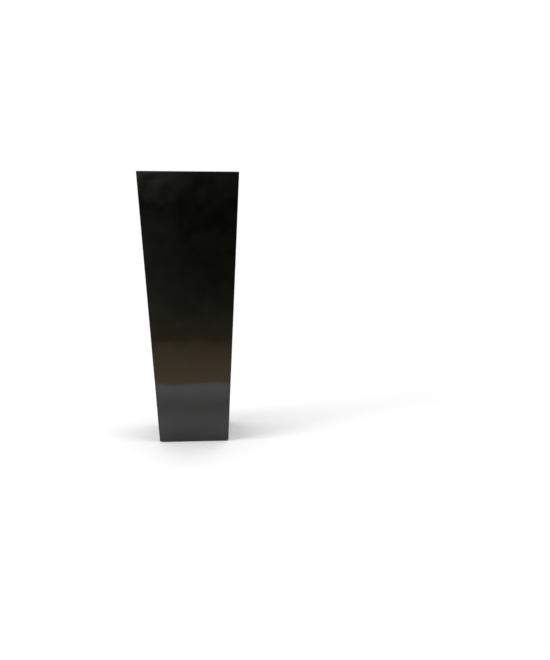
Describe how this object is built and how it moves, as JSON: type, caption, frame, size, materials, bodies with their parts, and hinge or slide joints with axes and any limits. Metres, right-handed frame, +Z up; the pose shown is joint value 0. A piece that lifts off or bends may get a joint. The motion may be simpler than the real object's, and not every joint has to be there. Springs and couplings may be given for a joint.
{
  "type": "tall square planter",
  "caption": "Tall square floor planter, tapered towards the base, in gloss black laminate, with a flat return rim, a lift-out planting shelf, a drain bung and rubber foot pads.",
  "frame": {"origin": "on the floor under the middle of the planter, level with the undersides of the foot pads", "axes": "+Z up, front wall towards -Y, X across the front"},
  "size_m": [0.3596, 0.3596, 1],
  "materials": {
    "gelcoat_black": "polished black gelcoat on glass-fibre laminate",
    "flowcoat_black": "satin black flow coat over chopped-strand laminate",
    "rubber_grey": "moulded dark grey rubber",
    "rubber_black": "moulded black rubber"
  },
  "bodies": {
    "planter": {"shell": "gelcoat_black", "rim_frame": "gelcoat_black", "base_tray": "flowcoat_black", "shelf_ledge_front": "flowcoat_black", "shelf_ledge_back": "flowcoat_black", "shelf_ledge_left": "flowcoat_black", "shelf_ledge_right": "flowcoat_black", "foot_pad_front_left": "rubber_black", "foot_pad_front_right": "rubber_black", "foot_pad_back_left": "rubber_black", "foot_pad_back_right": "rubber_black"},
    "shelf": {"planting_shelf": "flowcoat_black"},
    "bung": {"drain_bung": "rubber_grey"}
  },
  "joints": [
    {"name": "shelf_lift", "type": "slide", "parent": "planter", "child": "shelf", "axis": [0, 0, 1], "range_m": [0, 0.45]},
    {"name": "bung_pull", "type": "slide", "parent": "planter", "child": "bung", "axis": [0, 0, 1], "range_m": [0, 0.04]}
  ]
}
